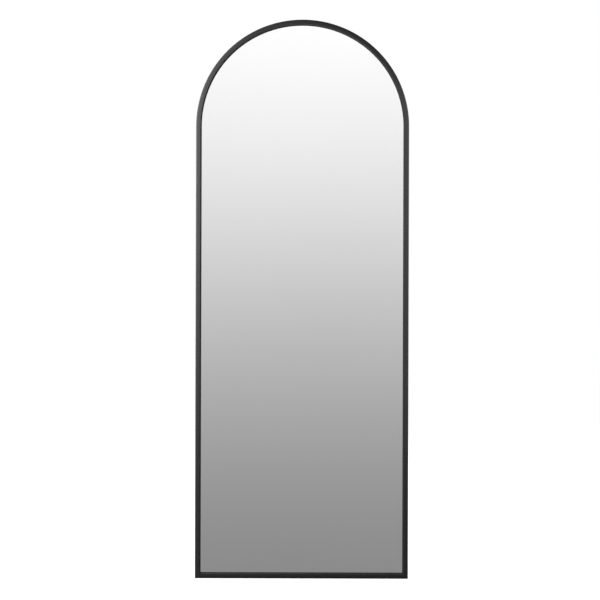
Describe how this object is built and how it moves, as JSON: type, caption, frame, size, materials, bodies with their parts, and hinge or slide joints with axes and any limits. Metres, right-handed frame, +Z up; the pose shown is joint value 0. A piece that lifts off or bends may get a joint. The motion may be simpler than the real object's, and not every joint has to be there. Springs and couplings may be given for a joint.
{
  "type": "arched wall mirror",
  "caption": "Tall wall mirror with a round-arched top in a slim black metal frame; a backing board held by turn buttons carries swinging ring hangers.",
  "frame": {"origin": "midway between the two wall hooks that the raised rings hang on, in the plane of the wall", "axes": "+Z up along the mirror's height, +Y towards the wall, +X to the right as seen from the room"},
  "size_m": [0.61, 0.0315, 1.5998],
  "materials": {
    "frame_finish": "satin black powder coat on extruded aluminium",
    "key_alloy": "plain mill finish",
    "dark_steel": "black oxide",
    "gasket_rubber": "matte black rubber",
    "clear_glass": "clear float glass",
    "silvering": "silver mirror coating",
    "film_plastic": "woven film",
    "tape_foam": "white foam tape",
    "fibreboard": "raw medium fibreboard",
    "zinc_steel": "bright zinc",
    "bumper_rubber": "matte black rubber"
  },
  "bodies": {
    "mirror": {"arched_rail": "frame_finish", "bottom_rail": "frame_finish", "corner_key_left": "key_alloy", "corner_key_right": "key_alloy", "corner_key_screws": "dark_steel", "glazing_gasket": "gasket_rubber", "mirror_glass": "clear_glass", "silver_coating": "silvering", "safety_film": "film_plastic", "setting_blocks": "gasket_rubber", "bonding_tapes": "tape_foam", "backing_board": "fibreboard", "turn_button_screws": "zinc_steel", "hanger_strap_left": "zinc_steel", "hanger_strap_right": "zinc_steel", "hanger_screws": "zinc_steel", "wall_bumpers": "bumper_rubber"},
    "ring_left": {"hanger_ring_left": "zinc_steel"},
    "ring_right": {"hanger_ring_right": "zinc_steel"},
    "button_left_low": {"turn_button_left_low": "zinc_steel"},
    "button_left_mid": {"turn_button_left_mid": "zinc_steel"},
    "button_left_high": {"turn_button_left_high": "zinc_steel"},
    "button_bottom_left": {"turn_button_bottom_left": "zinc_steel"},
    "button_right_low": {"turn_button_right_low": "zinc_steel"},
    "button_right_mid": {"turn_button_right_mid": "zinc_steel"},
    "button_right_high": {"turn_button_right_high": "zinc_steel"},
    "button_bottom_right": {"turn_button_bottom_right": "zinc_steel"},
    "button_arch_right": {"turn_button_arch_right": "zinc_steel"},
    "button_arch_top": {"turn_button_arch_top": "zinc_steel"},
    "button_arch_left": {"turn_button_arch_left": "zinc_steel"}
  },
  "joints": [
    {"name": "ring_left_swing", "type": "hinge", "parent": "mirror", "child": "ring_left", "pos_m": [-0.2, -0.0056, -0.0165], "axis": [1, 0, 0], "range_deg": [0, 172]},
    {"name": "ring_right_swing", "type": "hinge", "parent": "mirror", "child": "ring_right", "pos_m": [0.2, -0.0056, -0.0165], "axis": [1, 0, 0], "range_deg": [0, 172]},
    {"name": "button_left_low_swivel", "type": "hinge", "parent": "mirror", "child": "button_left_low", "pos_m": [-0.2998, -0.0073, -1.1], "axis": [0, 1, 0], "range_deg": [-90, 90]},
    {"name": "button_left_mid_swivel", "type": "hinge", "parent": "mirror", "child": "button_left_mid", "pos_m": [-0.2998, -0.0073, -0.6525], "axis": [0, 1, 0], "range_deg": [-90, 90]},
    {"name": "button_left_high_swivel", "type": "hinge", "parent": "mirror", "child": "button_left_high", "pos_m": [-0.2998, -0.0073, -0.205], "axis": [0, 1, 0], "range_deg": [-90, 90]},
    {"name": "button_bottom_left_swivel", "type": "hinge", "parent": "mirror", "child": "button_bottom_left", "pos_m": [-0.15, -0.0073, -1.2948], "axis": [0, 1, 0], "range_deg": [-90, 90]},
    {"name": "button_right_low_swivel", "type": "hinge", "parent": "mirror", "child": "button_right_low", "pos_m": [0.2998, -0.0073, -1.1], "axis": [0, 1, 0], "range_deg": [-90, 90]},
    {"name": "button_right_mid_swivel", "type": "hinge", "parent": "mirror", "child": "button_right_mid", "pos_m": [0.2998, -0.0073, -0.6525], "axis": [0, 1, 0], "range_deg": [-90, 90]},
    {"name": "button_right_high_swivel", "type": "hinge", "parent": "mirror", "child": "button_right_high", "pos_m": [0.2998, -0.0073, -0.205], "axis": [0, 1, 0], "range_deg": [-90, 90]},
    {"name": "button_bottom_right_swivel", "type": "hinge", "parent": "mirror", "child": "button_bottom_right", "pos_m": [0.15, -0.0073, -1.2948], "axis": [0, 1, 0], "range_deg": [-90, 90]},
    {"name": "button_arch_right_swivel", "type": "hinge", "parent": "mirror", "child": "button_arch_right", "pos_m": [0.21199, -0.0073, 0.20699], "axis": [0, 1, 0], "range_deg": [-90, 90]},
    {"name": "button_arch_top_swivel", "type": "hinge", "parent": "mirror", "child": "button_arch_top", "pos_m": [0, -0.0073, 0.2948], "axis": [0, 1, 0], "range_deg": [-90, 90]},
    {"name": "button_arch_left_swivel", "type": "hinge", "parent": "mirror", "child": "button_arch_left", "pos_m": [-0.21199, -0.0073, 0.20699], "axis": [0, 1, 0], "range_deg": [-90, 90]}
  ]
}
